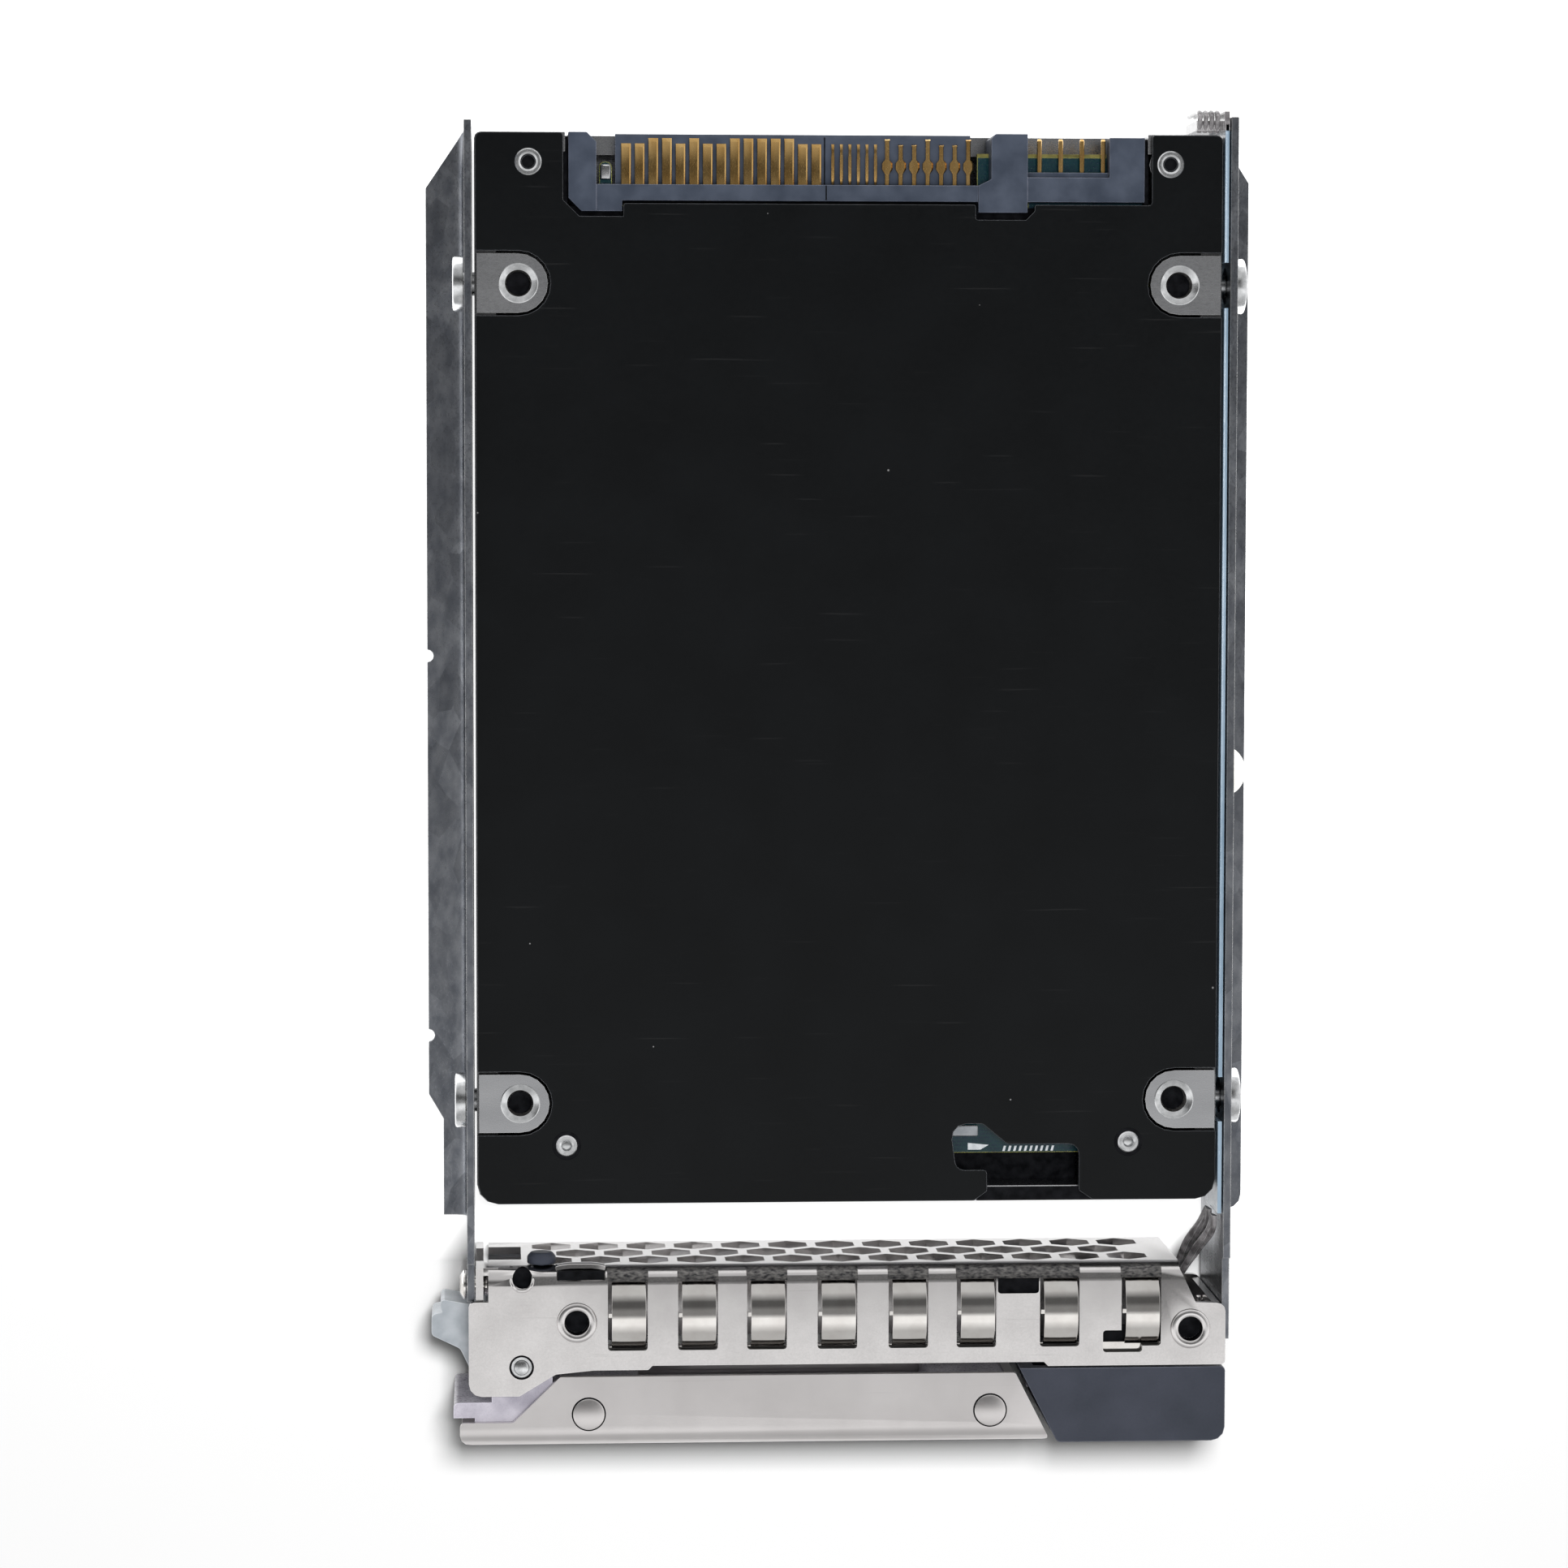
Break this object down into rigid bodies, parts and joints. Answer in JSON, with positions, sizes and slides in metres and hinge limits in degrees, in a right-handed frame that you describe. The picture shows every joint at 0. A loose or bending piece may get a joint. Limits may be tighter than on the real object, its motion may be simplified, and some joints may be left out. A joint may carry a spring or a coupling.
{
  "type": "solid state drive",
  "caption": "Server solid state drive in a hot-swap carrier: finned edge connector at the rear, steel side rails, honeycomb front frame and a cam lever with a release button.",
  "frame": {"origin": "centre of the bounding box at the bottom, where the carrier lies on its label side", "axes": "+X across the carrier, to the right with the front nearest and the pin side up; +Y towards the rear connector; +Z out of the drive's underside"},
  "size_m": [0.0792, 0.1252, 0.0172],
  "materials": {
    "bare_metal": "machined, satin, slightly brushed",
    "black_cover": "satin black coated sheet",
    "screw_steel": "dark plated steel",
    "board_green": "green solder mask",
    "chip_black": "matt epoxy",
    "capacitor_sleeve": "shrink sleeve",
    "pad_grey": "soft thermal pad",
    "connector_plastic": "moulded, fine grain",
    "gold": "gold plated",
    "galvanised": "galvanised with spangle",
    "nickel": "bright nickel plated sheet",
    "stainless": "satin stainless",
    "spring_steel": "bright spring steel",
    "bezel_plastic": "fine textured dark plastic",
    "lever_plastic": "moulded grey plastic",
    "button_plastic": "moulded dark red plastic",
    "clear_blue": "tinted clear plastic",
    "clear_grey": "clear plastic",
    "bumper_cream": "polished"
  },
  "bodies": {
    "root": {"drive_housing": "bare_metal", "drive_cover": "black_cover", "main_board": "board_green", "controller_chip": "chip_black", "memory_chip": "chip_black", "thermal_pad": "pad_grey", "debug_socket": "pad_grey", "connector_housing": "connector_plastic", "wide_contacts": "gold", "narrow_contacts": "gold", "signal_contacts": "gold", "rear_contacts": "gold", "jumper_pins": "gold", "board_lock": "spring_steel", "left_rail": "galvanised", "right_rail": "galvanised", "rail_bumper": "bumper_cream", "light_pipe_strip": "clear_blue", "light_pipe_head": "clear_grey", "light_pipe_lead_1": "clear_grey", "light_pipe_lead_2": "clear_grey", "front_frame": "nickel", "emi_strip": "spring_steel", "eyelet_1": "nickel", "eyelet_2": "nickel", "frame_peg": "bezel_plastic", "pivot_pin": "spring_steel", "lever_spring": "spring_steel", "bezel": "bezel_plastic", "bezel_back": "bezel_plastic", "button_spring": "spring_steel", "frame_rivet_1": "spring_steel", "frame_rivet_2": "spring_steel", "board_screw_1": "screw_steel", "board_screw_2": "screw_steel", "hold_up_capacitor_1": "capacitor_sleeve", "hold_up_capacitor_2": "capacitor_sleeve", "cover_screw_1": "screw_steel", "rail_screw_1": "screw_steel", "cover_screw_2": "screw_steel", "rail_screw_2": "screw_steel", "cover_screw_3": "screw_steel", "rail_screw_3": "screw_steel", "cover_screw_4": "screw_steel", "rail_screw_4": "screw_steel", "flash_chip_1": "chip_black", "flash_chip_2": "chip_black", "flash_chip_3": "chip_black", "flash_chip_4": "chip_black", "flash_chip_5": "chip_black", "flash_chip_6": "chip_black"},
    "lever": {"lever_plate": "stainless", "lever_insert": "lever_plastic", "lever_hook": "galvanised", "lever_rivet_1": "screw_steel", "lever_rivet_2": "screw_steel"},
    "button": {"release_button": "button_plastic"},
    "catch": {"catch": "lever_plastic"}
  },
  "joints": [
    {"name": "lever_swing", "type": "hinge", "parent": "root", "child": "lever", "pos_m": [-0.0308, -0.05498, 0.0083], "axis": [0, 0, -1], "range_deg": [0, 48], "deforming": ["lever_spring"]},
    {"name": "release_button_slide", "type": "slide", "parent": "root", "child": "button", "axis": [0, 1, 0], "range_m": [0, 0.0016], "stiffness_N_per_m": 300, "springref_m": -0.003, "deforming": ["button_spring"]},
    {"name": "catch_slide", "type": "slide", "parent": "root", "child": "catch", "axis": [1, 0, 0], "range_m": [0, 0.00128]}
  ],
  "couplings": [
    {"joint": "catch_slide", "follows": "release_button_slide", "ratio": 0.8}
  ]
}
